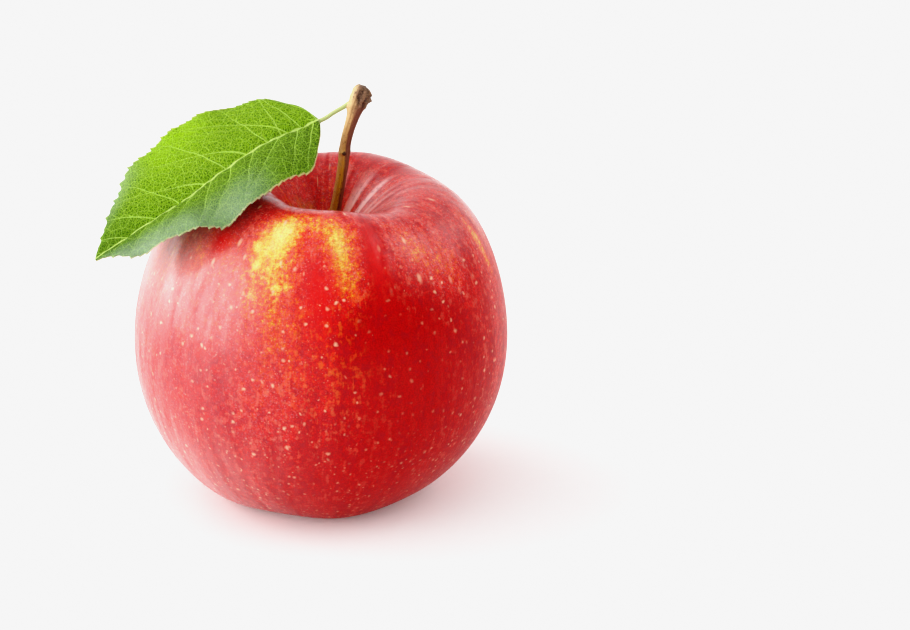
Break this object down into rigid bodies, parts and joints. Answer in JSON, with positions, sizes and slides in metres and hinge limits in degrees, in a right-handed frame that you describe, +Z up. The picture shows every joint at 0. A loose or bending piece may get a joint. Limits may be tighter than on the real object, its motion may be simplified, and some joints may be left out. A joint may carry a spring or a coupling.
{
  "type": "apple",
  "caption": "Fresh apple standing on its base, with a hollow round a woody stem, a leaf on its own stalk, and a dried calyx underneath.",
  "frame": {"origin": "middle of the footprint, on the surface that the apple stands on", "axes": "+Z up through the stem; +X to the right as the leaf hangs to the left; -Y towards the side that the leaf leans over"},
  "size_m": [0.0868, 0.0794, 0.0906],
  "materials": {
    "skin": "waxy gloss, red streaked and mottled over yellow, with pale dots",
    "stem_bark": "dry bark",
    "leaf_blade": "satin, veined",
    "dried_calyx": "dry and papery"
  },
  "bodies": {
    "root": {"apple_body": "skin", "stem": "stem_bark", "leaf": "leaf_blade", "sepal_1": "dried_calyx", "sepal_2": "dried_calyx", "sepal_3": "dried_calyx", "sepal_4": "dried_calyx", "sepal_5": "dried_calyx", "stamen_tuft": "dried_calyx"}
  },
  "joints": []
}
